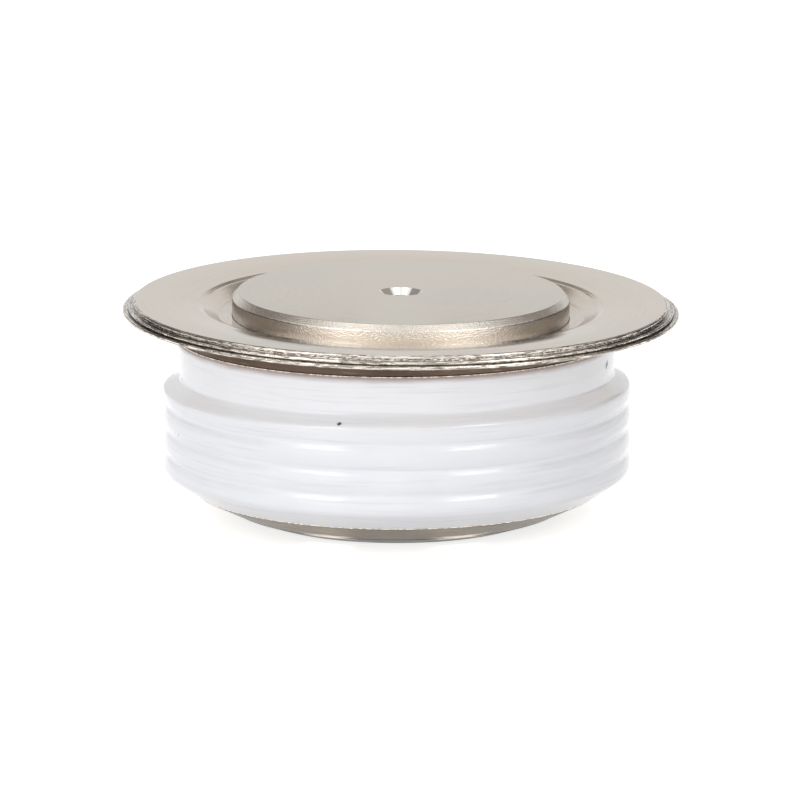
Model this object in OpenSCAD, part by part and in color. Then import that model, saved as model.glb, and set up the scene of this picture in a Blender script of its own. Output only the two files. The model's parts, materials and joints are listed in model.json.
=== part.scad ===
// Press-pack rectifier diode: a silicon wafer held dry between two copper poles in a ribbed ceramic capsule.
// The origin is the centre of the anode contact face, on which the capsule stands. +Z points to the cathode.

/* [Capsule] */
// Height over the two contact faces
capsule_h = 26.3; // [25:0.1:28]
// Height of the cathode contact face over the flat of its flange
cathode_proud = 1; // [0.8:0.1:1.8]
// Height of the anode flange's lower face over the anode contact face, at the pole
anode_proud = 1.1; // [1.1:0.05:1.5]

/* [Contact faces] */
// Diameter of both poles, outside their bevels
contact_d = 39.5; // [34:0.5:47]
// Chamfer round the cathode contact face
cathode_edge = 0.7; // [0.3:0.05:1]
// Width of the shallow bevel round the anode contact face
anode_bevel_w = 3; // [1:0.1:3.5]
// Height of that bevel
anode_bevel_h = 1.05; // [0.6:0.05:1.05]
// Diameter of the centring hole in each contact face
centre_hole_d = 3.5; // [3:0.1:4]
// Depth to the end of that hole's straight wall
centre_hole_depth = 3; // [2:0.5:5]
// Width and depth of the 90 degree countersink at its mouth
centre_hole_mouth = 0.75; // [0.3:0.05:1]
// Angle of the drill point at its bottom
drill_point = 118; // [90:1:140]

/* [Ceramic housing] */
// Gap between the anode pole's shoulder and the bore of the ceramic
bore_gap = 1.35; // [1:0.05:3]
// Wall of the ceramic, from its bore to the rib crests
ceramic_wall = 4.75; // [4.5:0.05:5.5]
// Wall of the smooth neck at the weld ring
neck_top_wall = 3.1; // [2.8:0.05:3.4]
// Wall of the neck at the ribs
neck_foot_wall = 2.7; // [2.4:0.05:3]
// Hollow rounding between the neck and the ribs
neck_fillet = 0.4; // [0.1:0.1:0.6]
// Number of ribs
rib_count = 4; // [2:1:4]
// Height from one valley to the next
rib_pitch = 2.9; // [2.6:0.1:3.1]
// How much shorter the first and the last rib are than the pitch
rib_end_trim = 0.25; // [0:0.05:0.4]
// Radius of a rib's crest in section
rib_radius = 2.2; // [1.8:0.1:3]
// Radius of the valley between two ribs
valley_radius = 0.5; // [0.2:0.1:0.8]
// Rounding of the top rib's shoulder
shoulder_round = 0.9; // [0.4:0.1:1.2]
// Angle at which that shoulder slopes up to the neck
shoulder_slope = 27; // [10:1:40]
// Rounding of the bottom rib's lower edge
skirt_round = 1.15; // [0.4:0.05:1.2]
// Angle at which that edge slopes down to the foot
skirt_slope = 35; // [20:1:45]
// Wall of the ceramic at its foot
band_foot_wall = 1.65; // [1.4:0.05:2.2]
// Height of the sloped band under the ribs
band_h = 1.63; // [1.2:0.01:2]
// Chamfer of the ceramic's end edges
ceramic_edge = 0.2; // [0.1:0.05:0.3]

/* [Cathode flange] */
// Thickness of the flexible sheet
cathode_sheet_t = 0.4; // [0.3:0.05:0.5]
// Depth of the ring channel beside the pole, below the flat
channel_depth = 1.8; // [1.4:0.1:2.2]
// Width of the channel's floor
channel_floor_w = 1.5; // [1.3:0.1:2]
// Width of the slope from the channel's floor to the flat
channel_slope_w = 2.3; // [2:0.1:2.6]
// Bend radius of the sheet at the channel, on its inner side
channel_bend = 1; // [0.4:0.1:1.2]
// Distance of the sheet's rim inside the weld ring's rim
rim_setback = 0.6; // [0.3:0.05:1]
// Width of the pressed land along the sheet's rim
rim_land_w = 0.65; // [0.5:0.05:1]
// Drop from the flat to that land
rim_step = 0.55; // [0.45:0.05:0.7]
// Bevel at the outer edge of the flat
flat_bevel = 0.25; // [0.1:0.05:0.3]

/* [Weld ring] */
// Width of the ring's flange, from its wall to its rim
weld_flange_w = 6.8; // [6:0.1:8]
// Thickness of the ring's sheet
weld_sheet_t = 0.4; // [0.3:0.05:0.6]
// Height from the underside of the ring's foot to the top of its flange
weld_ring_rise = 3.2; // [2.2:0.05:3.4]
// Bend radius of the ring's sheet on its inner side
weld_bend = 0.4; // [0.2:0.05:0.6]
// Distance of the ring's wall inside the neck of the ceramic
weld_wall_inset = 0.1; // [0:0.05:0.3]
// Width of the foot on the ceramic's end face
weld_foot_w = 2; // [1.4:0.1:2.2]

/* [Anode flange] */
// Distance of the dished flange's rim inside the ceramic's foot
anode_rim_inset = 0.25; // [0.2:0.05:0.6]
// Height of the dish, from its lower face at the pole to its upper rim
anode_dish_h = 2.2; // [1.8:0.05:2.4]
// Upright land along the upper rim
anode_rim_land = 0.08; // [0.05:0.01:0.3]
// Thickness of the dish at the pole, measured upright
anode_sheet_t = 0.5; // [0.4:0.05:0.6]
// Width of the flat seat under the ceramic
anode_seat_w = 1.3; // [1.2:0.1:1.5]

/* [Braze] */
// Thickness of each brazed layer
braze_t = 0.12; // [0.08:0.01:0.2]
// How far the braze stands out of the joint under the ceramic
braze_bead = 0.15; // [0.05:0.01:0.2]
// Gap between a pole and the bore of its flange
pole_gap = 0.05; // [0.02:0.01:0.1]

/* [Poles inside the capsule] */
// Width of the collar under the cathode flange
cathode_collar_w = 1.2; // [1:0.1:1.6]
// Height of that collar
cathode_collar_h = 1.6; // [1:0.1:3]
// Distance of the cathode pole's lower end inside the edge of the disc under it
cathode_body_inset = 0.2; // [0.1:0.05:0.5]
// Width of the anode pole's shoulder over its flange
anode_shoulder_w = 1.6; // [1.4:0.1:1.7]
// Height of the anode pole over its contact face
anode_pole_h = 11.4; // [10:0.1:12.5]
// Width of the ledge that carries the centring ring
ledge_w = 0.8; // [0.6:0.1:1]
// Depth of that ledge under the anode pole's inner face
ledge_depth = 1; // [0.6:0.1:2]
// Rounding of the cathode pole's inner edge
inner_edge = 0.4; // [0.2:0.1:0.6]

/* [Diode element] */
// Thickness of the silver foil on the anode pole
silver_foil_t = 0.1; // [0.05:0.05:0.2]
// Distance of the foil inside the edge of the anode pole
silver_foil_inset = 0.5; // [0.2:0.1:1]
// Thickness of the molybdenum disc under the wafer
anode_disc_t = 2; // [1.5:0.1:3]
// Distance of the wafer's wide side inside the edge of that disc
wafer_inset = 1; // [0.6:0.1:1.5]
// Thickness of the wafer
wafer_t = 0.4; // [0.3:0.05:0.6]
// Width of the bevel ground on the wafer's edge
wafer_bevel = 0.8; // [0.5:0.1:1]
// Distance of the upper molybdenum disc inside the wafer's narrow side
cathode_disc_inset = 1; // [0.8:0.1:1.5]
// Thickness of the upper molybdenum disc
cathode_disc_t = 1; // [0.8:0.1:1.5]
// Width by which the passivation covers the wafer's flat side
passivation_lap = 0.45; // [0.3:0.05:0.5]
// Height of the passivation bead
passivation_h = 0.75; // [0.5:0.05:0.9]
// Distance of the passivation inside the edge of its molybdenum disc
passivation_inset = 0.1; // [0.05:0.05:0.3]

/* [Centring ring] */
// Wall of the ring round the molybdenum disc
centring_wall = 1; // [0.7:0.1:1.5]
// Clearance round the anode pole and the molybdenum disc
centring_gap = 0.05; // [0.02:0.01:0.1]
// Clearance to the bore of the ceramic
centring_outer_gap = 0.15; // [0.1:0.05:0.3]
// Distance of the ring's top under the top of the molybdenum disc
centring_drop = 0.2; // [0.1:0.1:0.6]

/* [Hidden] */
$fn = 128;

// Straight pieces in each rounded corner, rib crest, valley and bead
corner_steps = 6;
crest_steps = 12;
valley_steps = 6;
bead_steps = 14;

nickel = [0.78, 0.77, 0.73];
nickel_dark = [0.6, 0.58, 0.54];
glaze = [0.95, 0.94, 0.94];
braze_silver = [0.88, 0.86, 0.8];
silver = [0.82, 0.82, 0.83];
molybdenum = [0.55, 0.55, 0.57];
silicon = [0.27, 0.29, 0.35];
silicone_rubber = [0.7, 0.32, 0.22];
ptfe = [0.92, 0.92, 0.88];

// Radii outwards, from the contact face through the ceramic to the rim of the weld ring
pole_r = contact_d / 2;
anode_shoulder_r = pole_r + anode_shoulder_w;
bore_r = anode_shoulder_r + bore_gap;
crest_r = bore_r + ceramic_wall;
foot_r = bore_r + band_foot_wall;
neck_top_r = bore_r + neck_top_wall;
weld_wall_r = neck_top_r - weld_wall_inset;
weld_rim_r = weld_wall_r + weld_flange_w;
anode_rim_r = foot_r - anode_rim_inset;
anode_bore_r = pole_r + pole_gap;

// Radii inwards, from the bore of the ceramic through the centring ring to the cathode pole's lower end
ledge_r = anode_shoulder_r - ledge_w;
anode_disc_r = bore_r - centring_outer_gap - centring_wall - centring_gap;
wafer_r = anode_disc_r - wafer_inset;
wafer_top_r = wafer_r - wafer_bevel;
cathode_disc_r = wafer_top_r - cathode_disc_inset;
cathode_body_r = cathode_disc_r - cathode_body_inset;

// Levels from the anode contact face upwards
anode_flange_z = anode_proud;
anode_rim_z = anode_flange_z + anode_dish_h;
ceramic_foot_z = anode_rim_z + braze_t;
foil_z = anode_pole_h;
anode_disc_z = foil_z + silver_foil_t;
wafer_z = anode_disc_z + anode_disc_t;
cathode_disc_z = wafer_z + wafer_t;
cathode_pole_z = cathode_disc_z + cathode_disc_t;

// Levels from the cathode contact face downwards
flat_z = capsule_h - cathode_proud;
channel_z = flat_z - channel_depth;
collar_z = channel_z - cathode_sheet_t - braze_t;
land_z = flat_z - rim_step;
weld_flange_z = land_z - cathode_sheet_t;
weld_foot_z = weld_flange_z - weld_ring_rise;
ceramic_top_z = weld_foot_z - braze_t;

// Rise of the dished anode flange for each millimetre outwards
dish_rise = (anode_dish_h - anode_rim_land) / (anode_rim_r - anode_bore_r);

// Height of the dish's upper face over its lower face's inner edge, at the radius r
function dish_top(r) = anode_flange_z + anode_sheet_t + dish_rise * (r - anode_bore_r);

// Unit vector along v
function unit(v) = v / norm(v);

// Arc of n straight pieces about a centre, from angle a to angle b
function arc(centre, r, a, b, n) =
    [for (i = [0 : n]) centre + r * [cos(a + (b - a) * i / n), sin(a + (b - a) * i / n)]];

// Corner at b between a and c, rounded to the radius r
function corner(a, b, c, r) =
    let (
        u = unit(a - b),
        v = unit(c - b),
        half = acos(u * v) / 2,
        centre = b + unit(u + v) * r / sin(half),
        start = b + u * r / tan(half) - centre,
        from = atan2(start[1], start[0]),
        side = u[0] * v[1] - u[1] * v[0] > 0 ? -1 : 1
    )
    arc(centre, r, from, from + side * (180 - 2 * half), corner_steps);

// Closed section from corners written as [radius, height] or [radius, height, rounding]
function rounded(pts) =
    let (n = len(pts), flat = [for (p = pts) [p[0], p[1]]])
    [
        for (i = [0 : n - 1])
            let (r = len(pts[i]) > 2 ? pts[i][2] : 0)
            each r > 0
                ? corner(flat[(i + n - 1) % n], flat[i], flat[(i + 1) % n], r)
                : [flat[i]]
    ];

// Solid of revolution about the capsule's axis
module turned(pts) {
    rotate_extrude() polygon(rounded(pts));
}

// Flat washer between two radii
module washer(inner_r, outer_r, z, t) {
    turned([[inner_r, z], [outer_r, z], [outer_r, z + t], [inner_r, z + t]]);
}

// Drilled and countersunk centring hole, with its mouth in the plane z = 0 and its drill point downwards
module centre_hole() {
    hole_r = centre_hole_d / 2;
    mouth_r = hole_r + centre_hole_mouth;
    point_h = hole_r / tan(drill_point / 2);
    turned([
        [0, -centre_hole_depth - point_h],
        [hole_r, -centre_hole_depth],
        [hole_r, -centre_hole_mouth],
        [mouth_r, 0],
        [mouth_r, centre_hole_mouth],
        [0, centre_hole_mouth]
    ]);
}

// Copper pole with the cathode contact face, standing on the upper molybdenum disc
module cathode_pole() {
    collar_r = pole_r + cathode_collar_w;
    collar_foot_z = collar_z - cathode_collar_h;
    color(nickel) difference() {
        turned([
            [0, cathode_pole_z],
            [cathode_body_r, cathode_pole_z, inner_edge],
            [cathode_body_r, collar_foot_z],
            [collar_r, collar_foot_z],
            [collar_r, collar_z],
            [pole_r, collar_z],
            [pole_r, capsule_h - cathode_edge],
            [pole_r - cathode_edge, capsule_h],
            [0, capsule_h]
        ]);
        translate([0, 0, capsule_h]) centre_hole();
    }
}

// Brazed layer between the cathode pole's collar and its flange
module cathode_pole_braze() {
    color(braze_silver)
        washer(pole_r + pole_gap, pole_r + cathode_collar_w, collar_z, braze_t);
}

// Flexible sheet from the cathode pole to the weld: channel, slope, flat and pressed rim
module cathode_flange() {
    inner_r = pole_r + pole_gap;
    slope_foot_r = pole_r + channel_floor_w;
    slope_top_r = slope_foot_r + channel_slope_w;
    rim_r = weld_rim_r - rim_setback;
    flat_r = rim_r - rim_land_w;
    t = cathode_sheet_t;
    // The lower side of a bent sheet runs beside the upper one, at the same thickness on the slope
    slope_shift = t * tan(atan2(channel_depth, channel_slope_w) / 2);
    joggle_w = rim_step + flat_bevel;
    edge_round = t * 0.4;
    color(nickel) turned([
        [inner_r, channel_z],
        [slope_foot_r, channel_z, channel_bend],
        [slope_top_r, flat_z, channel_bend + t],
        [flat_r, flat_z, flat_bevel],
        [flat_r, land_z],
        [rim_r, land_z, edge_round],
        [rim_r, weld_flange_z, edge_round],
        [flat_r, weld_flange_z],
        [flat_r - joggle_w, flat_z - t],
        [slope_top_r + slope_shift, flat_z - t, channel_bend],
        [slope_foot_r + slope_shift, channel_z - t, channel_bend + t],
        [inner_r, channel_z - t]
    ]);
}

// Stepped ring of the housing: foot on the ceramic, wall, and the flange that is welded to the cathode flange
module weld_ring() {
    t = weld_sheet_t;
    color(nickel) turned([
        [weld_wall_r - weld_foot_w, weld_foot_z],
        [weld_wall_r, weld_foot_z, weld_bend + t],
        [weld_wall_r, weld_flange_z - t, weld_bend],
        [weld_rim_r, weld_flange_z - t, t * 0.3],
        [weld_rim_r, weld_flange_z, t * 0.3],
        [weld_wall_r - t, weld_flange_z, weld_bend + t],
        [weld_wall_r - t, weld_foot_z + t, weld_bend],
        [weld_wall_r - weld_foot_w, weld_foot_z + t]
    ]);
}

// Brazed layer between the weld ring's foot and the ceramic
module weld_ring_braze() {
    color(braze_silver)
        washer(weld_wall_r - weld_foot_w, weld_wall_r, ceramic_top_z, braze_t);
}

// Centre of a rib's crest arc, counted from the lowest rib
function rib_centre(i) =
    [crest_r - rib_radius, ceramic_foot_z + band_h - rib_end_trim + rib_pitch * (i + 0.5)];

// Centre of the valley arc over rib i: it touches the crest arcs on both sides
function valley_centre(i) =
    let (reach = rib_radius + valley_radius)
    rib_centre(i) + [sqrt(reach * reach - rib_pitch * rib_pitch / 4), rib_pitch / 2];

// Angle at which a crest arc passes into a valley arc
valley_angle = asin(rib_pitch / 2 / (rib_radius + valley_radius));

// Centre of an end rounding that touches a crest arc from inside; side is 1 above the rib and -1 below it
function end_centre(i, r, side) =
    let (up = rib_pitch / 2 - rib_end_trim - r, reach = rib_radius - r)
    rib_centre(i) + [sqrt(reach * reach - up * up), side * up];

// Angle at which a crest arc passes into its end rounding
function end_angle(r) = asin((rib_pitch / 2 - rib_end_trim - r) / (rib_radius - r));

// Outline of the ribs, upwards, from the end of the band's slope to the start of the shoulder's slope
function ribs() =
    let (last = rib_count - 1, foot = end_angle(skirt_round), head = end_angle(shoulder_round))
    concat(
        arc(end_centre(0, skirt_round, -1), skirt_round, skirt_slope - 90, -foot, corner_steps),
        [
            for (i = [0 : last])
                each concat(
                    arc(
                        rib_centre(i), rib_radius,
                        i == 0 ? -foot : -valley_angle,
                        i == last ? head : valley_angle,
                        crest_steps
                    ),
                    i == last ? [] : arc(
                        valley_centre(i), valley_radius,
                        180 + valley_angle, 180 - valley_angle,
                        valley_steps
                    )
                )
        ],
        arc(
            end_centre(last, shoulder_round, 1), shoulder_round,
            head, 90 - shoulder_slope,
            corner_steps
        )
    );

// Glazed alumina ring with rounded ribs
module ceramic_housing() {
    outline = ribs();
    slope_start = outline[len(outline) - 1];
    neck_foot_r = bore_r + neck_foot_wall;
    neck_foot = [neck_foot_r, slope_start[1] + (slope_start[0] - neck_foot_r) * tan(shoulder_slope)];
    neck_edge = [neck_top_r, ceramic_top_z - ceramic_edge];
    color(glaze) rotate_extrude() polygon(concat(
        [
            [bore_r + ceramic_edge, ceramic_foot_z],
            [foot_r, ceramic_foot_z]
        ],
        outline,
        corner(slope_start, neck_foot, neck_edge, neck_fillet),
        [
            neck_edge,
            [neck_top_r - ceramic_edge, ceramic_top_z],
            [bore_r + ceramic_edge, ceramic_top_z],
            [bore_r, ceramic_top_z - ceramic_edge],
            [bore_r, ceramic_foot_z + ceramic_edge]
        ]
    ));
}

// Brazed layer between the ceramic's foot and the anode flange, with its bead in view
module anode_flange_braze() {
    color(braze_silver)
        washer(anode_rim_r - anode_seat_w, anode_rim_r + braze_bead, anode_rim_z, braze_t);
}

// Dished ring that closes the capsule round the anode pole and runs on in line with the pole's bevel
module anode_flange() {
    seat_foot_r = anode_shoulder_r + 2 * pole_gap;
    color(nickel_dark) turned([
        [anode_bore_r, anode_flange_z],
        [anode_rim_r, anode_rim_z - anode_rim_land],
        [anode_rim_r, anode_rim_z],
        [anode_rim_r - anode_seat_w, anode_rim_z],
        [seat_foot_r, dish_top(seat_foot_r)],
        [anode_bore_r, dish_top(anode_bore_r)]
    ]);
}

// Conical brazed layer between the anode flange and the anode pole's shoulder
module anode_pole_braze() {
    color(braze_silver) turned([
        [anode_bore_r, dish_top(anode_bore_r)],
        [anode_shoulder_r, dish_top(anode_shoulder_r)],
        [anode_shoulder_r, dish_top(anode_shoulder_r) + braze_t],
        [anode_bore_r, dish_top(anode_bore_r) + braze_t]
    ]);
}

// Copper pole with the anode contact face
module anode_pole() {
    color(nickel) difference() {
        turned([
            [0, 0],
            [pole_r - anode_bevel_w, 0],
            [pole_r, anode_bevel_h],
            [pole_r, dish_top(pole_r) + braze_t],
            [anode_shoulder_r, dish_top(anode_shoulder_r) + braze_t],
            [anode_shoulder_r, anode_pole_h - ledge_depth],
            [ledge_r, anode_pole_h - ledge_depth],
            [ledge_r, anode_pole_h],
            [0, anode_pole_h]
        ]);
        mirror([0, 0, 1]) centre_hole();
    }
}

// Soft foil that evens out the pressure under the molybdenum
module silver_foil() {
    color(silver)
        translate([0, 0, foil_z]) cylinder(h = silver_foil_t, r = ledge_r - silver_foil_inset);
}

// Disc that carries the wafer and matches its expansion
module anode_molybdenum_disc() {
    color(molybdenum)
        translate([0, 0, anode_disc_z]) cylinder(h = anode_disc_t, r = anode_disc_r);
}

// Diffused wafer with a bevelled edge
module silicon_wafer() {
    color(silicon)
        translate([0, 0, wafer_z]) cylinder(h = wafer_t, r1 = wafer_r, r2 = wafer_top_r);
}

// Rubber bead that seals the wafer's bevel
module edge_passivation() {
    outer_r = anode_disc_r - passivation_inset;
    inner_r = wafer_top_r - passivation_lap;
    mid_r = (outer_r + inner_r) / 2;
    half_w = (outer_r - inner_r) / 2;
    color(silicone_rubber) rotate_extrude() polygon(concat(
        [[wafer_top_r, cathode_disc_z], [wafer_r, wafer_z]],
        [
            for (i = [0 : bead_steps])
                let (a = 180 * i / bead_steps)
                [
                    mid_r + half_w * cos(a),
                    wafer_z + wafer_t * (1 - cos(a)) / 2 + passivation_h * sin(a)
                ]
        ]
    ));
}

// Disc between the wafer and the cathode pole
module cathode_molybdenum_disc() {
    color(molybdenum)
        translate([0, 0, cathode_disc_z]) cylinder(h = cathode_disc_t, r = cathode_disc_r);
}

// Plastic ring on the anode pole's ledge that keeps the discs and the wafer in the middle
module centring_ring() {
    outer_r = bore_r - centring_outer_gap;
    inner_r = ledge_r + centring_gap;
    disc_r = anode_disc_r + centring_gap;
    foot_z = anode_pole_h - ledge_depth;
    top_z = wafer_z - centring_drop;
    color(ptfe) turned([
        [inner_r, foot_z],
        [outer_r, foot_z],
        [outer_r, top_z],
        [disc_r, top_z],
        [disc_r, anode_disc_z - centring_gap],
        [inner_r, anode_disc_z - centring_gap]
    ]);
}

cathode_pole();
cathode_pole_braze();
cathode_flange();
weld_ring();
weld_ring_braze();
ceramic_housing();
anode_flange_braze();
anode_flange();
anode_pole_braze();
anode_pole();
silver_foil();
anode_molybdenum_disc();
silicon_wafer();
edge_passivation();
cathode_molybdenum_disc();
centring_ring();
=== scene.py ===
"""Looks of the press-pack rectifier diode.

Lengths are in millimetres and angles in degrees, until a mesh is made. +Z is up, and the camera looks along +Y.
"""

import json
import math

import bpy
import numpy as np
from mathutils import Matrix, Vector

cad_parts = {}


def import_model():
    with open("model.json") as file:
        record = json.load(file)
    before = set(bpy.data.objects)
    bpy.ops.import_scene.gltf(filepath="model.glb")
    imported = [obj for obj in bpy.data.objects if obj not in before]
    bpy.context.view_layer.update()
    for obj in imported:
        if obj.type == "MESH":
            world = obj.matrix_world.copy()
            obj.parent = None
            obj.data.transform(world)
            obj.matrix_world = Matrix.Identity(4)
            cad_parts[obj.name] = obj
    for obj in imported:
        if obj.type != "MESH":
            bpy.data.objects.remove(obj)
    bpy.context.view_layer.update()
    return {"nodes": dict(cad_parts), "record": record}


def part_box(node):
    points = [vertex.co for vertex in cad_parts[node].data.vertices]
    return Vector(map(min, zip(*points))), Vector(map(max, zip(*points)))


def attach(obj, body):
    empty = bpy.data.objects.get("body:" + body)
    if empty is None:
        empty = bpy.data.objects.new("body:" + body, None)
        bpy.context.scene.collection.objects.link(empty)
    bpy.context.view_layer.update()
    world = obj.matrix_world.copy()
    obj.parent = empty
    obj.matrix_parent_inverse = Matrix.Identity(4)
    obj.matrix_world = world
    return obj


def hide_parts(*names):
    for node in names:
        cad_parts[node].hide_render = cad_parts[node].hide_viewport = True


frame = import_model()

MM = 0.001
ON_AXIS = 1e-6

# How finely the sections are drawn and turned
SEGMENTS = 512
CORNER_STEPS = 6
CREST_STEPS = 14
VALLEY_STEPS = 8
END_STEPS = 10
LOOP_INSET = 0.025
SHORTEST_LOOPED = 6 * LOOP_INSET
LONGEST_STRETCH = 1.2
SHARP_ANGLE = 32

# Sizes of the turned, pressed and fired pieces
CONTACT_R = 19.75
CATHODE_EDGE = 0.7
CATHODE_BODY_INSET = 0.2
ANODE_BEVEL_W = 3
ANODE_BEVEL_H = 1.05
HOLE_MOUTH = 0.75
DRILL_POINT = 118
COLLAR_H = 1.6
LEDGE_W = 0.8
SHEET_T = 0.4
BRAZE_T = 0.12
CHANNEL_BEND = 1
WELD_BEND = 0.4
WELD_FOOT_BEND = 0.2
CHANNEL_W = 1.5
SLOPE_W = 2.3
LAND_W = 0.65
FLAT_BEVEL = 0.25
BRIGHT_EDGE_H = 0.04
WELD_FOOT_W = 2
BORE_R = 22.7
NECK_TOP_R = 25.8
NECK_FOOT_R = 25.4
NECK_FILLET = 0.4
BAND_FOOT_R = 24.35
BAND_H = 1.63
RIBS = 4
RIB_PITCH = 2.9
RIB_END_TRIM = 0.25
RIB_RADIUS = 2.2
VALLEY_RADIUS = 0.5
SHOULDER_ROUND = 0.9
SHOULDER_SLOPE = 27
SKIRT_ROUND = 1.15
SKIRT_SLOPE = 35
CERAMIC_EDGE = 0.2
ANODE_SEAT_W = 1.3
ANODE_RIM_LAND = 0.08
ANODE_SHEET_T = 0.5
POLE_GAP = 0.05

# Roundings of their edges
CATHODE_INNER_ROUND = 0.4
CHAMFER_ROUND = 0.3
CHAMFER_TOP_ROUND = 0.12
MOUTH_ROUND = 0.04
HOLE_ROUND = 0.05
LEDGE_ROUND = 0.05
ANODE_FACE_ROUND = 0.3
ANODE_EDGE_ROUND = 0.06
ANODE_RIM_FOOT_ROUND = 0.03
ANODE_RIM_TOP_ROUND = 0.02
CERAMIC_FOOT_ROUND = 0.06
LAND_ROUND = 0.05
SHEET_RIM_TOP_ROUND = SHEET_T * 0.4
SHEET_RIM_FOOT_ROUND = SHEET_T * 0.25
WELD_RIM_ROUND = SHEET_T * 0.35
BEAD_ROUND = BRAZE_T * 0.45


def extent(node):
    """Outer radius, lowest and highest level of a CAD node."""
    low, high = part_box(node)
    return round(high.x / MM, 3), round(low.z / MM, 3), round(high.z / MM, 3)


# Levels and radii that the frame gives
COLLAR_R, CATHODE_POLE_Z, CAPSULE_H = extent("cathode_pole")
SHEET_RIM_R, CHANNEL_UNDERSIDE_Z, FLAT_Z = extent("cathode_flange")
WELD_RIM_R, WELD_FOOT_Z, WELD_FLANGE_Z = extent("weld_ring")
CREST_R, CERAMIC_FOOT_Z, CERAMIC_TOP_Z = extent("ceramic_housing")
ANODE_RIM_R, ANODE_FLANGE_Z, ANODE_RIM_Z = extent("anode_flange")
SHOULDER_R, _, ANODE_POLE_H = extent("anode_pole")
WELD_WALL_R = extent("weld_ring_braze")[0]
COLLAR_Z = extent("cathode_pole_braze")[1]
LEDGE_Z = extent("centring_ring")[1]
CATHODE_BODY_R = extent("cathode_molybdenum_disc")[0] - CATHODE_BODY_INSET
SLEEVE_R = CONTACT_R + POLE_GAP
HOLE = next(m["dims"] for m in frame["record"]["mounts"] if m["name"] == "cathode_centre_hole")

# The photographed capsule isn't quite true: its closure leans, and sits a little off the ceramic's middle
CLOSURE_TILT = 0.6
CLOSURE_NOD = 1.27
CLOSURE_SHIFT = 0.31
HOUSING_SHIFT = -0.15
POLE_LEAN_LEVELS = (15, 22)
# The ceramic's shoulder is lower on the left. The drop is full from above the top crest, and fades up the neck
SHOULDER_DROP = 0.6
DROP_RISE = 1.3
DROP_FADE = (0.4, 2.8)
# The thin sheet sinks a little towards the pole
SAG_RADII = [21.25, 22.4, 23.55, 24.75, 26.25, 28.25, 31.25]
SAG_DEPTHS = [0, 0.2, 0.42, 0.34, 0.18, 0.06, 0]
# Uneven rims and brazed beads: the waves that a turn holds, their height, and where they start and are full
SHEET_WAVES = (83, 131, 197, 263)
SHEET_WAVE_H = 0.06
SHEET_WAVE_START = (-0.3, 0.2)
WELD_WAVES = (71, 113, 179, 239)
WELD_WAVE_H = 0.04
WELD_WAVE_W = 0.6
BEAD_WAVES = (97, 139, 211, 263, 331, 397)
WELD_BEAD_H = 0.01
FOOT_BEAD_H = 0.06
BEAD_W = 0.2
SHEET_SEED, WELD_SEED, BEAD_SEED = 3, 5, 7
# The sheet's rim has its full waves from one azimuth to another, in radians to the right of the front
CALM_SHARE = 0.35
CRUMPLE_START = (0.1, 0.45)
CRUMPLE_END = (0.95, 1.3)


# Sections


def arc(centre, radius, start, end, steps):
    """Points on an arc from one angle to another."""
    turn = np.radians(np.linspace(start, end, steps + 1))
    return [(centre[0] + radius * math.cos(t), centre[1] + radius * math.sin(t)) for t in turn]


def corner(before, at, after, radius):
    """Points that round the corner at one point of an outline."""
    u, v = (np.subtract(p, at) / np.hypot(*np.subtract(p, at)) for p in (before, after))
    half = math.acos(float(np.clip(u @ v, -1, 1))) / 2
    centre = at + (u + v) / np.hypot(*(u + v)) * radius / math.sin(half)
    first = at + u * radius / math.tan(half) - centre
    start = math.degrees(math.atan2(first[1], first[0]))
    side = -1 if u[0] * v[1] - u[1] * v[0] > 0 else 1
    return arc(centre, radius, start, start + side * (180 - 2 * math.degrees(half)), CORNER_STEPS)


def rounded(entries):
    """Closed section from (radius, level, rounding, finish). The finish holds from there on, until the next one."""
    flat = [np.array(e[:2], float) for e in entries]
    points, finish = [], 0
    for i, entry in enumerate(entries):
        finish = entry[3] if len(entry) > 3 else finish
        radius = entry[2] if len(entry) > 2 else 0
        bend = corner(flat[i - 1], flat[i], flat[(i + 1) % len(flat)], radius) if radius else [flat[i]]
        points += [(float(r), float(z), finish) for r, z in bend]
    return points


def with_loops(points):
    """The section with a loop close to both ends of each long stretch, so that it shades flat, and others between."""
    made = []
    for (r0, z0, finish), (r1, z1, _) in zip(points, points[1:] + points[:1]):
        length = math.hypot(r1 - r0, z1 - z0)
        made.append((r0, z0, finish))
        if length < SHORTEST_LOOPED or max(r0, r1) < ON_AXIS:
            continue
        inset = LOOP_INSET / length
        steps = max(1, math.ceil(length / LONGEST_STRETCH))
        for share in np.linspace(inset, 1 - inset, steps + 1):
            made.append((r0 + (r1 - r0) * share, z0 + (z1 - z0) * share, finish))
    return made


# Warps, which take and give the coordinates of a piece's points


def smoothstep(x, low, high):
    """0 below one value, 1 above another, and smooth between them."""
    t = np.clip((x - low) / (high - low), 0, 1)
    return t * t * (3 - 2 * t)


def ripple(turn, seed, waves, size):
    """A wave round the capsule, mixed from a few sines, the same in each run."""
    draw = np.random.RandomState(seed)
    total = np.zeros_like(turn)
    for count in waves:
        total += draw.uniform(0.4, 1) * np.sin(count * turn + draw.uniform(0, 2 * math.pi))
    return size * total / len(waves)


def lean(low, high, base=HOUSING_SHIFT):
    """Warp of a piece that is true below one level and leans with the closure above another."""
    tilt, nod = (math.tan(math.radians(angle)) for angle in (CLOSURE_TILT, CLOSURE_NOD))

    def warp(x, y, z):
        share = smoothstep(z, low, high)
        return x + base + (CLOSURE_SHIFT - base) * share, y, z - (tilt * x - nod * y) * share

    return warp


def upright(x, y, z):
    """Warp of a piece that stands true with the ceramic."""
    return x + HOUSING_SHIFT, y, z


# Turned pieces


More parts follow.
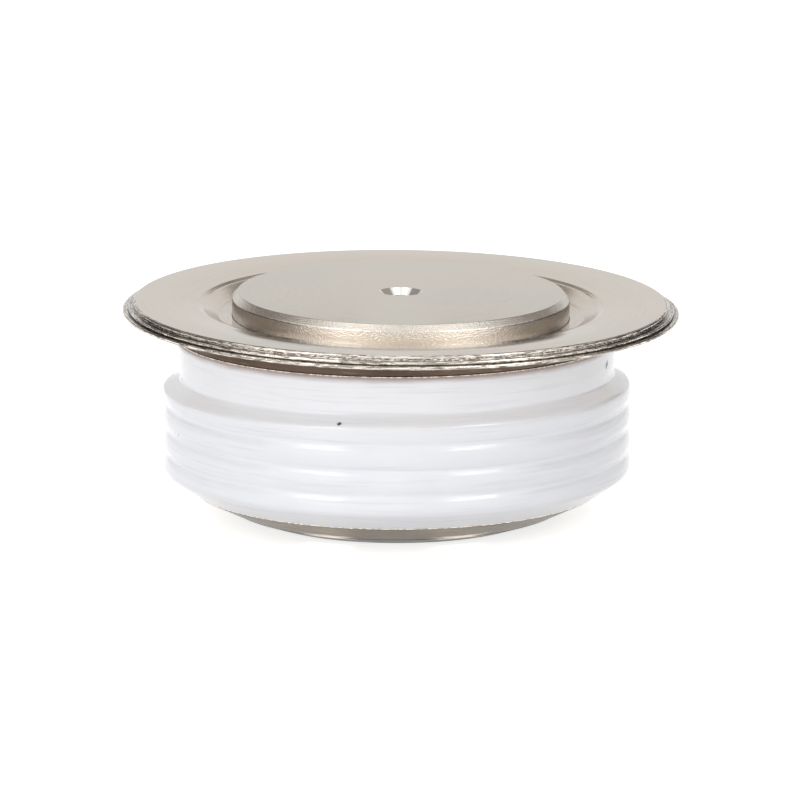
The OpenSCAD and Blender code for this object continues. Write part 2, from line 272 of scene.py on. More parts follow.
def turned(points):
    """Corners and faces of a closed section turned about the axis, with the finish of each face."""
    turn = np.arange(SEGMENTS) * 2 * math.pi / SEGMENTS
    ring = list(zip(np.cos(turn), np.sin(turn)))
    coords, first = [], []
    for r, z, _ in points:
        first.append(len(coords))
        coords += [(0, 0, z)] if r < ON_AXIS else [(r * c, r * s, z) for c, s in ring]
    faces, finishes = [], []
    for i, (r, _, finish) in enumerate(points):
        k = (i + 1) % len(points)
        a, b = first[i], first[k]
        a_round, b_round = r >= ON_AXIS, points[k][0] >= ON_AXIS
        for j in range(SEGMENTS if a_round or b_round else 0):
            n = (j + 1) % SEGMENTS
            faces.append(([a + j, a + n] if a_round else [a]) + ([b + n, b + j] if b_round else [b]))
            finishes.append(finish)
    return coords, faces, finishes


def lathe(name, section, node, materials, warp):
    """A piece turned about the axis from a closed section. It stands for the CAD node of that form."""
    coords, faces, finishes = turned(with_loops(section))
    x, y, z = warp(*np.array(coords, float).T)
    mesh = bpy.data.meshes.new(name)
    mesh.from_pydata((np.stack([x, y, z], 1) * MM).tolist(), [], faces)
    for material in materials:
        mesh.materials.append(material)
    mesh.polygons.foreach_set("material_index", finishes)
    mesh.polygons.foreach_set("use_smooth", [True] * len(faces))
    mesh.set_sharp_from_angle(angle=math.radians(SHARP_ANGLE))
    mesh.update()
    piece = bpy.data.objects.new(name, mesh)
    bpy.context.scene.collection.objects.link(piece)
    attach(piece, "root")
    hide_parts(node)


# Shader nodes


def put(tree, kind, settings=None, **inputs):
    """Adds a shader node. An input is named in lower case with underscores, or a, b, c by its place in the node."""
    made = tree.nodes.new("ShaderNode" + kind)
    for key, value in (settings or {}).items():
        setattr(made, key, value)
    for key, value in inputs.items():
        if key in "abc":
            socket = made.inputs["abc".index(key)]
        else:
            socket = next(s for s in made.inputs if s.enabled and s.name.lower().replace(" ", "_") == key)
        if isinstance(value, bpy.types.NodeSocket):
            tree.links.new(value, socket)
        else:
            socket.default_value = value
    return made


def maths(tree, operation, a, b=0.0, c=0.0):
    return put(tree, "Math", {"operation": operation}, a=a, b=b, c=c).outputs[0]


def vector_maths(tree, operation, a, b):
    return put(tree, "VectorMath", {"operation": operation}, a=a, b=b).outputs[0]


def scaled(tree, vector, factor):
    made = put(tree, "VectorMath", {"operation": "SCALE"}, a=vector)
    made.inputs["Scale"].default_value = factor
    return made.outputs[0]


def ramp(tree, value, low, high, to_low, to_high):
    """Maps a value from one range smoothly to another."""
    limits = {"from_min": low, "from_max": high, "to_min": to_low, "to_max": to_high}
    return put(tree, "MapRange", {"interpolation_type": "SMOOTHSTEP"}, value=value, **limits).outputs[0]


def blend_colours(tree, share, first, second):
    """A colour that is the first at a share of 0 and the second at 1. The places are a Mix node's for colours."""
    mixed = put(tree, "Mix", {"data_type": "RGBA"})
    for place, value in ((0, share), (6, first), (7, second)):
        if isinstance(value, bpy.types.NodeSocket):
            tree.links.new(value, mixed.inputs[place])
        else:
            mixed.inputs[place].default_value = value
    return mixed.outputs[2]


def object_place(tree):
    """The place on the object in millimetres."""
    return scaled(tree, put(tree, "TexCoord").outputs["Object"], 1 / MM)


def off_axis(tree, place):
    """The part of a place that points away from the axis."""
    return vector_maths(tree, "MULTIPLY", place, (1, 1, 0))


def radius_of(tree, place):
    return put(tree, "VectorMath", {"operation": "LENGTH"}, a=off_axis(tree, place)).outputs["Value"]


def grain(tree, place, per_mm, detail=2):
    """Even noise with that many grains in a millimetre."""
    settings = {"noise_dimensions": "4D"}
    return put(tree, "TexNoise", settings, vector=place, w=0.0, scale=per_mm, detail=detail).outputs["Fac"]


def streaks(tree, place, per_turn, per_mm):
    """Noise drawn out round the axis: lines that follow the turning."""
    unit = put(tree, "VectorMath", {"operation": "NORMALIZE"}, a=off_axis(tree, place)).outputs[0]
    up = vector_maths(tree, "MULTIPLY", place, (0, 0, per_mm))
    where = vector_maths(tree, "ADD", scaled(tree, unit, per_turn / (2 * math.pi)), up)
    across = maths(tree, "MULTIPLY", radius_of(tree, place), per_mm)
    settings = {"noise_dimensions": "4D"}
    return put(tree, "TexNoise", settings, vector=where, w=across, scale=1.0, detail=3).outputs["Fac"]


def bumped(tree, shader, *layers):
    """Stacks bump layers of (height socket, depth in millimetres) on a shader."""
    normal = None
    for height, depth in layers:
        layer = put(tree, "Bump", height=height, distance=depth * MM, strength=1.0)
        if normal:
            tree.links.new(normal, layer.inputs["Normal"])
        normal = layer.outputs[0]
    tree.links.new(normal, shader.inputs["Normal"])


# Tints. A pair holds a tint and the other one that it has in patches


def srgb(red, green, blue):
    """Linear colour from the 0 to 255 values of a picture."""
    parts = [v / 255 for v in (red, green, blue)]
    return tuple(v / 12.92 if v <= 0.04045 else ((v + 0.055) / 1.055) ** 2.4 for v in parts) + (1,)


LAPPED = srgb(195, 185, 170), srgb(192, 185, 172)
ROLLED = srgb(208, 196, 182), srgb(202, 195, 182)
DRAWN = srgb(212, 201, 188), srgb(204, 193, 180)
TURNED = srgb(236, 231, 225), srgb(228, 222, 214)
CHAMFERED = srgb(208, 201, 191), srgb(200, 192, 182)
COUNTERSUNK = srgb(240, 238, 233), srgb(232, 229, 222)
WORKED = srgb(232, 226, 218), srgb(222, 215, 206)
# Dark lines and bands on the rims: partly tool marks, partly painted shade and painted dark reflections
RIM_MARKS_AND_SHADE = srgb(112, 103, 94)
RIM_BANDS_AND_SHADE = srgb(150, 141, 131)
# The step below the flat's bevel: its tint, and mottled lines of painted shade
STEP_TINTS = srgb(228, 221, 211), srgb(218, 210, 199)
STEP_PAINTED_SHADE = srgb(106, 96, 86)
# Painted shade for the sheet's rim foot and underside, in the gap to the weld ring
RECESS_PAINTED_SHADE = srgb(140, 130, 118), srgb(118, 108, 98)
# The weld ring's wall under its flange: partly its own brown, partly painted shade, with lighter lines
WALL_BROWN_AND_SHADE = srgb(80, 64, 54), srgb(98, 84, 74)
WALL_BROWN_LINES = srgb(128, 110, 97)
BRAZED = srgb(252, 248, 240), srgb(176, 166, 152)
ANODE = srgb(122, 109, 90), srgb(106, 94, 77)
# A darker copy of the anode plating: painted shade on the downward bevel
ANODE_BEVEL_PAINTED_SHADE = srgb(58, 51, 40), srgb(48, 42, 33)
# Painted highlight on the anode side
PAINTED_HIGHLIGHT = srgb(255, 244, 226)
MOLYBDENUM = srgb(150, 150, 154), srgb(138, 138, 143)
SILVER = srgb(226, 226, 223), srgb(214, 214, 210)
SILICON = srgb(84, 88, 104), srgb(72, 76, 92)
RUBBER = srgb(178, 82, 56), srgb(166, 74, 50)
FLUOROPOLYMER = srgb(234, 234, 226), srgb(226, 226, 218)
WHITE = srgb(247, 248, 252), srgb(244, 245, 249)
WHITE_STREAK = srgb(234, 235, 241)
MARGIN = srgb(196, 184, 184)
SPECK = srgb(52, 48, 46)

METAL_EDGE = (0.86, 0.86, 0.86, 1)
PLAIN_EDGE = (1, 1, 1, 1)
GLAZE_ROUGHNESS = 0.13
GLAZE_IOR = 1.52
RAGGEDNESS = 1.4
# The margin starts this far below the ceramic's top, and is full where its ragged edge reaches that far above it
MARGIN_LEVELS = (-0.55, 0.1)
# Dark specks and a nick on the glaze, as (place, radius)
SPECKS = [
    ((-6.6, -26.2, 16.0), 0.34),
    ((-25.2, -10.5, 11.4), 0.26),
    ((-24.9, -10.3, 7.6), 0.26),
    ((24.0, -8.3, 19.2), 0.58),
]
# Painted highlights on the anode side, as (azimuth, radius, reach to either side, width to either side)
PAINTED_HIGHLIGHT_PLACES = [(-24, 19.7, 10, 1.0), (21, 19.7, 10, 1.0)]


# Materials. Roughness is a (low, high) pair


def start_material(name):
    """A new material's tree, its surface shader and its place socket."""
    material = bpy.data.materials.new(name)
    material.use_nodes = True
    tree = material.node_tree
    return material, tree, tree.nodes["Principled BSDF"], object_place(tree)


def take_up(material):
    """The tree of a finished material, its surface shader, a place socket and the socket of its tint."""
    tree = material.node_tree
    shader = tree.nodes["Principled BSDF"]
    return tree, shader, object_place(tree), shader.inputs["Base Color"].links[0].from_socket


def metal(name, tints, roughness, lines=None, grains=None, patch=0.1):
    """Plated metal. Lines from turning and a grain are given as (number in a millimetre, depth)."""
    material, tree, shader, place = start_material(name)
    patches = ramp(tree, grain(tree, place, patch, 3), 0.35, 0.65, 0.0, 1.0)
    tree.links.new(blend_colours(tree, patches, *tints), shader.inputs["Base Color"])
    tree.links.new(ramp(tree, streaks(tree, place, 40, 3), 0.3, 0.7, *roughness), shader.inputs["Roughness"])
    shader.inputs["Metallic"].default_value = 1
    shader.inputs["Specular Tint"].default_value = METAL_EDGE
    layers = []
    if lines:
        layers.append((streaks(tree, place, 60, lines[0]), lines[1]))
    if grains:
        layers.append((grain(tree, place, grains[0], 1), grains[1]))
    if layers:
        bumped(tree, shader, *layers)
    return material


def dull(name, tints, roughness):
    """Rubber or plastic."""
    material = metal(name, tints, roughness, grains=(4, 0.004))
    shader = material.node_tree.nodes["Principled BSDF"]
    shader.inputs["Metallic"].default_value = 0
    shader.inputs["Specular Tint"].default_value = PLAIN_EDGE
    return material


def broken(material, dark, limits, per_turn, per_mm):
    """Breaks a metal's tint with short dark lines round the axis, more of them as the limits rise."""
    tree, shader, place, tint = take_up(material)
    share = ramp(tree, streaks(tree, place, per_turn, per_mm), *limits, 1.0, 0.0)
    tree.links.new(blend_colours(tree, share, tint, dark), shader.inputs["Base Color"])


def paint_highlights(material):
    """Paints highlights into a metal's tint at the highlight places, with ragged edges along the turned lines."""
    tree, shader, place, tint = take_up(material)
    split = put(tree, "SeparateXYZ", vector=place).outputs
    turn = maths(tree, "ARCTAN2", split["X"], maths(tree, "MULTIPLY", split["Y"], -1.0))
    radius = radius_of(tree, place)
    ragged = maths(tree, "MULTIPLY", streaks(tree, place, 90, 3), RAGGEDNESS)

    def offset(value, middle, reach):
        return maths(tree, "DIVIDE", maths(tree, "ABSOLUTE", maths(tree, "SUBTRACT", value, middle)), reach)

    for azimuth, at, reach, width in PAINTED_HIGHLIGHT_PLACES:
        along = offset(turn, math.radians(azimuth), math.radians(reach))
        across = offset(radius, at, width)
        away = maths(tree, "ADD", maths(tree, "MAXIMUM", along, across), ragged)
        tint = blend_colours(tree, ramp(tree, away, 0.9, 1.8, 1.0, 0.0), tint, PAINTED_HIGHLIGHT)
    tree.links.new(tint, shader.inputs["Base Color"])


def glaze():
    """White glazed alumina. The glaze ends in an uneven, dull margin under the weld ring. It has a few dark specks."""
    material, tree, shader, place = start_material("glazed_alumina")
    tint = blend_colours(tree, ramp(tree, grain(tree, place, 0.15), 0.3, 0.7, 0.0, 1.0), *WHITE)
    tint = blend_colours(tree, ramp(tree, streaks(tree, place, 14, 2.5), 0.5, 0.7, 0.0, 0.7), tint, WHITE_STREAK)
    level = put(tree, "SeparateXYZ", vector=place).outputs["Z"]
    uneven = maths(tree, "ADD", level, maths(tree, "MULTIPLY", streaks(tree, place, 50, 1.5), 0.5))
    low, high = (CERAMIC_TOP_Z + v for v in MARGIN_LEVELS)
    tint = blend_colours(tree, ramp(tree, uneven, low, high, 0.0, 1.0), tint, MARGIN)
    for spot, size in SPECKS:
        away = put(tree, "VectorMath", {"operation": "DISTANCE"}, a=place, b=spot).outputs["Value"]
        ragged = maths(tree, "ADD", away, maths(tree, "MULTIPLY", grain(tree, place, 5, 1), size))
        tint = blend_colours(tree, ramp(tree, ragged, size, size * 1.6, 1.0, 0.0), tint, SPECK)
    tree.links.new(tint, shader.inputs["Base Color"])
    shader.inputs["Roughness"].default_value = GLAZE_ROUGHNESS
    shader.inputs["IOR"].default_value = GLAZE_IOR
    fired, combed = (streaks(tree, place, 30, 1.5), 0.015), (streaks(tree, place, 70, 4), 0.006)
    bumped(tree, shader, fired, combed, (grain(tree, place, 0.8), 0.01))
    return material


face_metal = metal("lapped_plating", LAPPED, (0.1, 0.15), lines=(3, 0.0004), patch=0.07)
sheet_metal = metal("rolled_plating", ROLLED, (0.1, 0.16), lines=(3, 0.0005), patch=0.06)
channel_metal = metal("drawn_plating", DRAWN, (0.14, 0.2), lines=(3, 0.001), grains=(3, 0.006))
wall_metal = metal("turned_plating", TURNED, (0.08, 0.14), lines=(7, 0.003), grains=(5.5, 0.05))
chamfer_metal = metal("chamfer_plating", CHAMFERED, (0.08, 0.14), lines=(7, 0.003), grains=(5.5, 0.05))
cut_metal = metal("countersunk_plating", COUNTERSUNK, (0.12, 0.18), lines=(7, 0.002))
edge_metal = metal("worked_edge", WORKED, (0.1, 0.18), lines=(6, 0.02), grains=(5, 0.03))
# The rims' dark lines and bands are partly tool marks and partly painted shade and painted dark reflections
broken(edge_metal, RIM_MARKS_AND_SHADE, (0.41, 0.51), per_turn=170, per_mm=10)
broken(edge_metal, RIM_BANDS_AND_SHADE, (0.4, 0.52), per_turn=40, per_mm=6)
# Painted shade: the step below the flat's bevel is darkened with mottled lines
step_shade_metal = metal("mottled_edge", STEP_TINTS, (0.16, 0.24), lines=(6, 0.02), grains=(5, 0.03))
broken(step_shade_metal, STEP_PAINTED_SHADE, (0.46, 0.6), per_turn=420, per_mm=12)
# Painted shade in the gap under the sheet's rim
recess_shade_metal = metal("dull_recess", RECESS_PAINTED_SHADE, (0.4, 0.5), lines=(4, 0.006))
# Partly the ring wall's own brown and partly painted shade under its flange
brown_and_shade_metal = metal("heat_tinted", WALL_BROWN_AND_SHADE, (0.3, 0.4), lines=(4, 0.02), grains=(3, 0.02))
broken(brown_and_shade_metal, WALL_BROWN_LINES, (0.3, 0.42), per_turn=60, per_mm=5)
braze_metal = metal("braze_silver", BRAZED, (0.25, 0.35), grains=(3, 0.03), patch=1.8)
anode_metal = metal("anode_plating", ANODE, (0.26, 0.34), lines=(3.5, 0.008), grains=(5, 0.01), patch=0.12)
# A darker copy of the anode plating, as painted shade on the bevel
bevel_shade_metal = metal("anode_bevel_plating", ANODE_BEVEL_PAINTED_SHADE, (0.26, 0.34), lines=(3.5, 0.008), grains=(5, 0.01), patch=0.12)
# Painted highlights on the anode's plating and bevel
paint_highlights(anode_metal)
paint_highlights(bevel_shade_metal)
glaze_material = glaze()
molybdenum = metal("lapped_molybdenum", MOLYBDENUM, (0.35, 0.45), grains=(6, 0.004))

# The pieces inside, which keep the CAD's form
INNER = {
    "silver_foil": metal("annealed_silver", SILVER, (0.3, 0.4), grains=(1.5, 0.01)),
    "anode_molybdenum_disc": molybdenum,
    "silicon_wafer": metal("metallised_silicon", SILICON, (0.2, 0.3)),
    "edge_passivation": dull("cast_rubber", RUBBER, (0.5, 0.6)),
    "cathode_molybdenum_disc": molybdenum,
    "centring_ring": dull("turned_fluoropolymer", FLUOROPOLYMER, (0.4, 0.5)),
}
for node, material in INNER.items():
    mesh = frame["nodes"][node].data
    mesh.materials.clear()
    mesh.materials.append(material)

# Finishes, each the place of its material in a piece's list
FACE, WALL, EDGE, RECESS, CUT, STEP_SHADE_FINISH, CHANNEL, CHAMFER = range(8)
PLATED = [
    face_metal, wall_metal, edge_metal, recess_shade_metal, cut_metal, step_shade_metal, channel_metal, chamfer_metal
]


# Pieces


def hole_entries(level, up, mouth_finish, finish):
    """The countersunk centring hole of a contact face, from the face inwards to the axis."""
    radius = HOLE["r_mm"]
    depth = HOLE_MOUTH + HOLE["length_mm"]
    point = radius / math.tan(math.radians(DRILL_POINT / 2))
    return [
        (radius + HOLE_MOUTH, level, MOUTH_ROUND, mouth_finish),
        (radius, level - up * HOLE_MOUTH, HOLE_ROUND, finish),
        (radius, level - up * depth, 0, finish),
        (0, level - up * (depth + point), 0, finish),
    ]


def cathode_pole():
    foot = COLLAR_Z - COLLAR_H
    section = rounded([
        (0, CATHODE_POLE_Z, 0, WALL),
        (CATHODE_BODY_R, CATHODE_POLE_Z, CATHODE_INNER_ROUND),
        (CATHODE_BODY_R, foot),
        (COLLAR_R, foot),
        (COLLAR_R, COLLAR_Z),
        (CONTACT_R, COLLAR_Z),
        (CONTACT_R, CAPSULE_H - CATHODE_EDGE, CHAMFER_ROUND, CHAMFER),
        (CONTACT_R - CATHODE_EDGE, CAPSULE_H, CHAMFER_TOP_ROUND, FACE),
        *hole_entries(CAPSULE_H, 1, CUT, WALL),
    ])
    lathe("turned_cathode_pole", section, "cathode_pole", PLATED, lean(*POLE_LEAN_LEVELS, 0))


def cathode_flange():
    channel_z = CHANNEL_UNDERSIDE_Z + SHEET_T
    foot_r = CONTACT_R + CHANNEL_W
    top_r = foot_r + SLOPE_W
    flat_r = SHEET_RIM_R - LAND_W
    land_z = WELD_FLANGE_Z + SHEET_T
    slope = math.atan2(FLAT_Z - channel_z, SLOPE_W)
    shift = SHEET_T * math.tan(slope / 2)
    joggle = FLAT_Z - land_z + FLAT_BEVEL
    section = rounded([
        (SLEEVE_R, channel_z, 0, CHANNEL),
        (foot_r, channel_z, CHANNEL_BEND),
        (top_r, FLAT_Z, CHANNEL_BEND + SHEET_T, FACE),
        (flat_r, FLAT_Z, FLAT_BEVEL, EDGE),
        # Painted shade on the step below the bevel
        (flat_r, FLAT_Z - FLAT_BEVEL - BRIGHT_EDGE_H, 0, STEP_SHADE_FINISH),
        (flat_r, land_z, LAND_ROUND, EDGE),
        (SHEET_RIM_R, land_z, SHEET_RIM_TOP_ROUND),
        # Painted shade on the rim's foot and underside
        (SHEET_RIM_R, WELD_FLANGE_Z, SHEET_RIM_FOOT_ROUND, RECESS),
        (flat_r, WELD_FLANGE_Z),
        (flat_r - joggle, FLAT_Z - SHEET_T, 0, FACE),
        (top_r + shift, FLAT_Z - SHEET_T, CHANNEL_BEND),
        (foot_r + shift, channel_z - SHEET_T, CHANNEL_BEND + SHEET_T),
        (SLEEVE_R, channel_z - SHEET_T),
    ])
    leaning = lean(0, 1)

    def sagging(x, y, z):
        radius = np.hypot(x, y)
        turn = np.arctan2(x, -y)
        sag = np.interp(radius, SAG_RADII, SAG_DEPTHS)
        crumpled = smoothstep(turn, *CRUMPLE_START) * (1 - smoothstep(turn, *CRUMPLE_END))
        share = CALM_SHARE + (1 - CALM_SHARE) * crumpled
        near_rim = smoothstep(radius, *(flat_r + v for v in SHEET_WAVE_START))
        wave = ripple(turn, SHEET_SEED, SHEET_WAVES, SHEET_WAVE_H) * share * near_rim
        return leaning(x, y, z - sag + wave)

    materials = [sheet_metal, *PLATED[1:]]
    lathe("pressed_cathode_flange", section, "cathode_flange", materials, sagging)


def weld_ring():
    t = SHEET_T
    foot_r = WELD_WALL_R - WELD_FOOT_W
    section = rounded([
        (foot_r, WELD_FOOT_Z, 0, FACE),
        (WELD_WALL_R, WELD_FOOT_Z, WELD_FOOT_BEND, WALL),
        (WELD_WALL_R, WELD_FLANGE_Z - t, WELD_BEND, FACE),
        (WELD_RIM_R, WELD_FLANGE_Z - t, WELD_RIM_ROUND, EDGE),
        (WELD_RIM_R, WELD_FLANGE_Z, WELD_RIM_ROUND),
        (WELD_WALL_R - t, WELD_FLANGE_Z, WELD_BEND + t, FACE),
        (WELD_WALL_R - t, WELD_FOOT_Z + t, WELD_BEND),
        (foot_r, WELD_FOOT_Z + t),
    ])
    rising = lean(WELD_FOOT_Z + t, WELD_FLANGE_Z - t)

    def crumpled(x, y, z):
        radius = np.hypot(x, y)
        near_rim = smoothstep(radius, SHEET_RIM_R - WELD_WAVE_W, WELD_RIM_R)
        wave = ripple(np.arctan2(x, -y), WELD_SEED, WELD_WAVES, WELD_WAVE_H) * near_rim
        return rising(x * (1 + wave / radius), y * (1 + wave / radius), z + wave)

    # The ring's wall under its flange is partly its own brown and partly painted shade
    materials = [sheet_metal, brown_and_shade_metal, edge_metal]
    lathe("stepped_weld_ring", section, "weld_ring", materials, crumpled)


def rib_centre(i):
    return CREST_R - RIB_RADIUS, CERAMIC_FOOT_Z + BAND_H - RIB_END_TRIM + RIB_PITCH * (i + 0.5)


def rib_outline():
    """Outline of the ribs, upwards: crest arcs joined by valley arcs, a round skirt below and a shoulder above."""
    half = RIB_PITCH / 2
    reach = RIB_RADIUS + VALLEY_RADIUS
    valley_turn = math.degrees(math.asin(half / reach))

    def end(i, radius, side):
        """Centre of the arc that ends a row of ribs, and the angle at which the crest runs into it."""
        up = half - RIB_END_TRIM - radius
        out = math.sqrt((RIB_RADIUS - radius) ** 2 - up**2)
        r, z = rib_centre(i)
        return (r + out, z + side * up), math.degrees(math.asin(up / (RIB_RADIUS - radius)))

    skirt, skirt_turn = end(0, SKIRT_ROUND, -1)
    shoulder, shoulder_turn = end(RIBS - 1, SHOULDER_ROUND, 1)
    made = arc(skirt, SKIRT_ROUND, SKIRT_SLOPE - 90, -skirt_turn, END_STEPS)
    for i in range(RIBS):
        start = -skirt_turn if i == 0 else -valley_turn
        stop = shoulder_turn if i == RIBS - 1 else valley_turn
        made += arc(rib_centre(i), RIB_RADIUS, start, stop, CREST_STEPS)[1:]
        if i < RIBS - 1:
            r, z = rib_centre(i)
            valley = r + math.sqrt(reach**2 - half**2), z + half
            made += arc(valley, VALLEY_RADIUS, 180 + valley_turn, 180 - valley_turn, VALLEY_STEPS)[1:]
    return made + arc(shoulder, SHOULDER_ROUND, shoulder_turn, 90 - SHOULDER_SLOPE, END_STEPS)[1:]


def ceramic_housing():
    ribs = rib_outline()
    shoulder_r, shoulder_z = ribs[-1]
    neck_foot_z = shoulder_z + (shoulder_r - NECK_FOOT_R) * math.tan(math.radians(SHOULDER_SLOPE))
    section = rounded([
        (BORE_R + CERAMIC_EDGE, CERAMIC_FOOT_Z),
        (BAND_FOOT_R, CERAMIC_FOOT_Z, CERAMIC_FOOT_ROUND),
        *ribs,
        (NECK_FOOT_R, neck_foot_z, NECK_FILLET),
        (NECK_TOP_R, CERAMIC_TOP_Z - CERAMIC_EDGE),
        (NECK_TOP_R - CERAMIC_EDGE, CERAMIC_TOP_Z),
        (BORE_R + CERAMIC_EDGE, CERAMIC_TOP_Z),
        (BORE_R, CERAMIC_TOP_Z - CERAMIC_EDGE),
        (BORE_R, CERAMIC_FOOT_Z + CERAMIC_EDGE),
    ])
    crest_z = rib_centre(RIBS - 1)[1]
    fade_low, fade_high = (neck_foot_z + v for v in DROP_FADE)

    def slumped(x, y, z):
        near = smoothstep(z, crest_z, crest_z + DROP_RISE) * (1 - smoothstep(z, fade_low, fade_high))
        return upright(x, y, z - SHOULDER_DROP * np.clip(-x / CREST_R, 0, 1) * near)

    lathe("glazed_ceramic_housing", section, "ceramic_housing", [glaze_material], slumped)


def dish_top(radius):
    """Level of the dished flange's upper face."""
    rise = (ANODE_RIM_Z - ANODE_RIM_LAND - ANODE_FLANGE_Z) / (ANODE_RIM_R - SLEEVE_R)
    return ANODE_FLANGE_Z + ANODE_SHEET_T + rise * (radius - SLEEVE_R)


def anode_flange():
    seat_foot_r = SHOULDER_R + 2 * POLE_GAP
    section = rounded([
        (SLEEVE_R, ANODE_FLANGE_Z),
        (ANODE_RIM_R, ANODE_RIM_Z - ANODE_RIM_LAND, ANODE_RIM_FOOT_ROUND),
        (ANODE_RIM_R, ANODE_RIM_Z, ANODE_RIM_TOP_ROUND),
        (ANODE_RIM_R - ANODE_SEAT_W, ANODE_RIM_Z),
        (seat_foot_r, dish_top(seat_foot_r)),
        (SLEEVE_R, dish_top(SLEEVE_R)),
    ])
    lathe("dished_anode_flange", section, "anode_flange", [anode_metal], upright)


def anode_pole():
    plain, bevel = range(2)
    ledge_r = SHOULDER_R - LEDGE_W
    section = rounded([
        *reversed(hole_entries(0, -1, plain, plain)),
        (CONTACT_R - ANODE_BEVEL_W, 0, ANODE_FACE_ROUND, bevel),
        (CONTACT_R, ANODE_BEVEL_H, ANODE_EDGE_ROUND),
        (CONTACT_R, dish_top(CONTACT_R) + BRAZE_T, 0, plain),
        (SHOULDER_R, dish_top(SHOULDER_R) + BRAZE_T),
        (SHOULDER_R, LEDGE_Z),
        (ledge_r, LEDGE_Z),
        (ledge_r, ANODE_POLE_H, LEDGE_ROUND),
        (0, ANODE_POLE_H),
    ])
    # The bevel's darker copy of the plating is painted shade on the downward face
    lathe("turned_anode_pole", section, "anode_pole", [anode_metal, bevel_shade_metal], upright)


def braze_layer(name, node, inner_r, warp, bead=0, rise=0):
    """A brazed layer, with a rounded and uneven bead where it shows. It may be a cone that rises outwards."""
    outer_r, low, _ = extent(node)
    section = rounded([
        (inner_r, low),
        (outer_r, low + rise, BEAD_ROUND),
        (outer_r, low + rise + BRAZE_T, BEAD_ROUND),
        (inner_r, low + BRAZE_T),
    ])

    def uneven(x, y, z):
        radius = np.hypot(x, y)
        size = ripple(np.arctan2(y, x), BEAD_SEED, BEAD_WAVES, bead) * (radius > outer_r - BEAD_W)
        return warp(x * (1 + size / radius), y * (1 + size / radius), z)

    lathe(name, section, node, [braze_metal], uneven)


cathode_pole()
cathode_flange()
weld_ring()
ceramic_housing()
anode_flange()
anode_pole()
braze_layer("cathode_pole_joint", "cathode_pole_braze", SLEEVE_R, lean(*POLE_LEAN_LEVELS, 0))
braze_layer("weld_ring_joint", "weld_ring_braze", WELD_WALL_R - WELD_FOOT_W, upright, WELD_BEAD_H)
braze_layer("anode_flange_joint", "anode_flange_braze", ANODE_RIM_R - ANODE_SEAT_W, upright, FOOT_BEAD_H)
shoulder_rise = dish_top(SHOULDER_R) - dish_top(SLEEVE_R)
braze_layer("anode_pole_joint", "anode_pole_braze", SLEEVE_R, upright, rise=shoulder_rise)


# Stage, light and camera

FLOOR_SHADE = 0.85
FLOOR_GLOW = 0.75
FLOOR_HALF = 3000
FLOOR_DROP = 0.01
WORLD_LIGHT = 0.64
WHITE_SEEN = 1.0
CARD_RADIUS = 70
CARD_BENDS = 24
CARD_TINT = (1, 0.94, 0.9, 1)
LAMP_AIM = (0, 0, 15)
CAMERA_DISTANCE = 550
CAMERA_ELEVATION = 11.45
CAMERA_AIM = (0.21, 0, 13.34)
FLANGE_PIXELS = 553.2
IMAGE_WIDTH = 800
SENSOR = 36


def dome_point(azimuth, elevation, distance):
    """A point round the object, in metres. Azimuth 0 is towards the camera and 90 to its right."""
    a, e = math.radians(azimuth), math.radians(elevation)
    return tuple(distance * MM * v for v in (math.sin(a) * math.cos(e), -math.cos(a) * math.cos(e), math.sin(e)))


def look_at(thing, target):
    direction = np.array(target) * MM - np.array(thing.location)
    thing.rotation_euler = Vector(direction).to_track_quat("-Z", "Y").to_euler()


def background_seen(tree):
    """1 on a ray from the camera, a reflection or glass, and 0 on a ray that lights a surface."""
    path = put(tree, "LightPath").outputs
    seen = maths(tree, "MAXIMUM", path["Is Camera Ray"], path["Is Glossy Ray"])
    return maths(tree, "MAXIMUM", seen, path["Is Transmission Ray"])


def glowing(name, shade, glow):
    """A matt grey material that glows in a tint, with its surface shader."""
    material = bpy.data.materials.new(name)
    material.use_nodes = True
    shader = material.node_tree.nodes["Principled BSDF"]
    shader.inputs["Base Color"].default_value = (shade, shade, shade, 1)
    shader.inputs["Roughness"].default_value = 1
    shader.inputs["Specular IOR Level"].default_value = 0
    shader.inputs["Emission Color"].default_value = glow
    return material, shader


def staged(name, coords, faces, material):
    """A mesh of the stage, from coordinates in metres."""
    mesh = bpy.data.meshes.new(name)
    mesh.from_pydata(coords, [], faces)
    mesh.materials.append(material)
    made = bpy.data.objects.new(name, mesh)
    bpy.context.scene.collection.objects.link(made)
    return made


def floor():
    """A plain pale floor, seen a little lighter than it is lit, which leaves a soft shadow on white."""
    material, shader = glowing("floor", FLOOR_SHADE, (1, 1, 1, 1))
    tree = material.node_tree
    tree.links.new(maths(tree, "MULTIPLY", background_seen(tree), FLOOR_GLOW), shader.inputs["Emission Strength"])
    half, level = FLOOR_HALF * MM, -FLOOR_DROP * MM
    corners = [(-half, -half, level), (half, -half, level), (half, half, level), (-half, half, level)]
    staged("floor", corners, [(0, 1, 2, 3)], material)


def side_card(name, start, end, bottom, top, brightness):
    """A curved grey card from one azimuth and level to another, which only the object's reflections show."""
    material, shader = glowing(name, 0, CARD_TINT)
    shader.inputs["Emission Strength"].default_value = brightness
    foot = [dome_point(a, 0, CARD_RADIUS) for a in np.linspace(start, end, CARD_BENDS + 1)]
    coords = [(x, y, z * MM) for z in (bottom, top) for x, y, _ in foot]
    faces = [(i, i + 1, i + 2 + CARD_BENDS, i + 1 + CARD_BENDS) for i in range(CARD_BENDS)]
    made = staged(name, coords, faces, material)
    made.visible_camera = False
    made.visible_diffuse = False
    made.visible_shadow = False


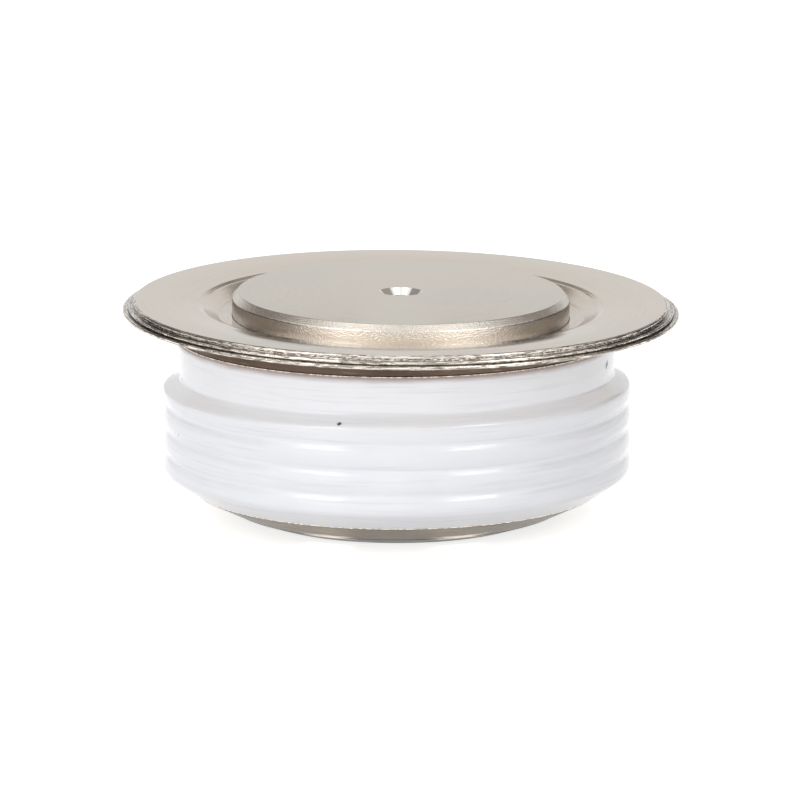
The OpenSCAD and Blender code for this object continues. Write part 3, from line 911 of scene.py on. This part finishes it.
def softbox(name, azimuth, elevation, distance, width, height, brightness, diffuse=True, glossy=True):
    """An area lamp that faces the object, of that brightness seen from it."""
    data = bpy.data.lights.new(name, "AREA")
    data.shape = "RECTANGLE"
    data.size, data.size_y = width * MM, height * MM
    data.energy = brightness * math.pi * data.size * data.size_y
    lamp = bpy.data.objects.new(name, data)
    bpy.context.scene.collection.objects.link(lamp)
    lamp.location = dome_point(azimuth, elevation, distance)
    look_at(lamp, LAMP_AIM)
    lamp.visible_diffuse = diffuse
    lamp.visible_glossy = glossy


def world():
    """Soft light from all round. The camera, reflections and glass see the white background."""
    scene_world = bpy.data.worlds.new("studio")
    bpy.context.scene.world = scene_world
    scene_world.use_nodes = True
    tree = scene_world.node_tree
    tree.nodes.clear()
    light = put(tree, "Background", color=(1, 1, 1, 1), strength=WORLD_LIGHT)
    white = put(tree, "Background", color=(1, 1, 1, 1), strength=WHITE_SEEN)
    mixed = put(tree, "MixShader", a=background_seen(tree), b=light.outputs[0], c=white.outputs[0])
    put(tree, "OutputWorld", surface=mixed.outputs[0])


def camera():
    """A camera at the photograph's angle, with the flange as wide in the picture as it is in the photograph."""
    data = bpy.data.cameras.new("camera")
    data.sensor_width = SENSOR
    data.lens = SENSOR * FLANGE_PIXELS / IMAGE_WIDTH * CAMERA_DISTANCE / (2 * WELD_RIM_R)
    data.clip_start, data.clip_end = 0.1, 20
    made = bpy.data.objects.new("camera", data)
    bpy.context.scene.collection.objects.link(made)
    made.location = np.array(dome_point(0, CAMERA_ELEVATION, CAMERA_DISTANCE)) + np.array(CAMERA_AIM) * MM
    look_at(made, CAMERA_AIM)
    bpy.context.scene.camera = made


world()
floor()
camera()

# Cards: azimuth from and to, level from and to, brightness
side_card("left_low_card", -58, -121, 25, 48, 0.12)
side_card("left_high_card", -90, -176, 50, 140, 0.34)
side_card("right_low_card", 64, 128, 25, 48, 0.06)
side_card("right_high_card", 94, 176, 50, 140, 0.38)

# Lamps: azimuth, elevation, distance, width, height, brightness. The reflectors and strips light no matt surface
softbox("front_lamp", -16, 12, 900, 900, 400, 2.5, glossy=False)
softbox("front_reflector", 0, 26, 900, 330, 700, 0.4, diffuse=False)
softbox("left_reflector", -42, 26, 900, 727, 700, 0.75, diffuse=False)
softbox("right_reflector", 42, 26, 900, 727, 700, 0.65, diffuse=False)
softbox("left_high_reflector", -52, 62, 700, 260, 420, 0.7, diffuse=False)
softbox("right_high_reflector", 54, 62, 700, 260, 420, 0.65, diffuse=False)
softbox("left_strip", -42, 38, 700, 260, 90, 7, diffuse=False)
softbox("right_strip", 42, 38, 700, 260, 90, 7, diffuse=False)
softbox("top_lamp", 0, 90, 700, 740, 740, 0.12)
bpy.context.scene.view_settings.view_transform = "Standard"
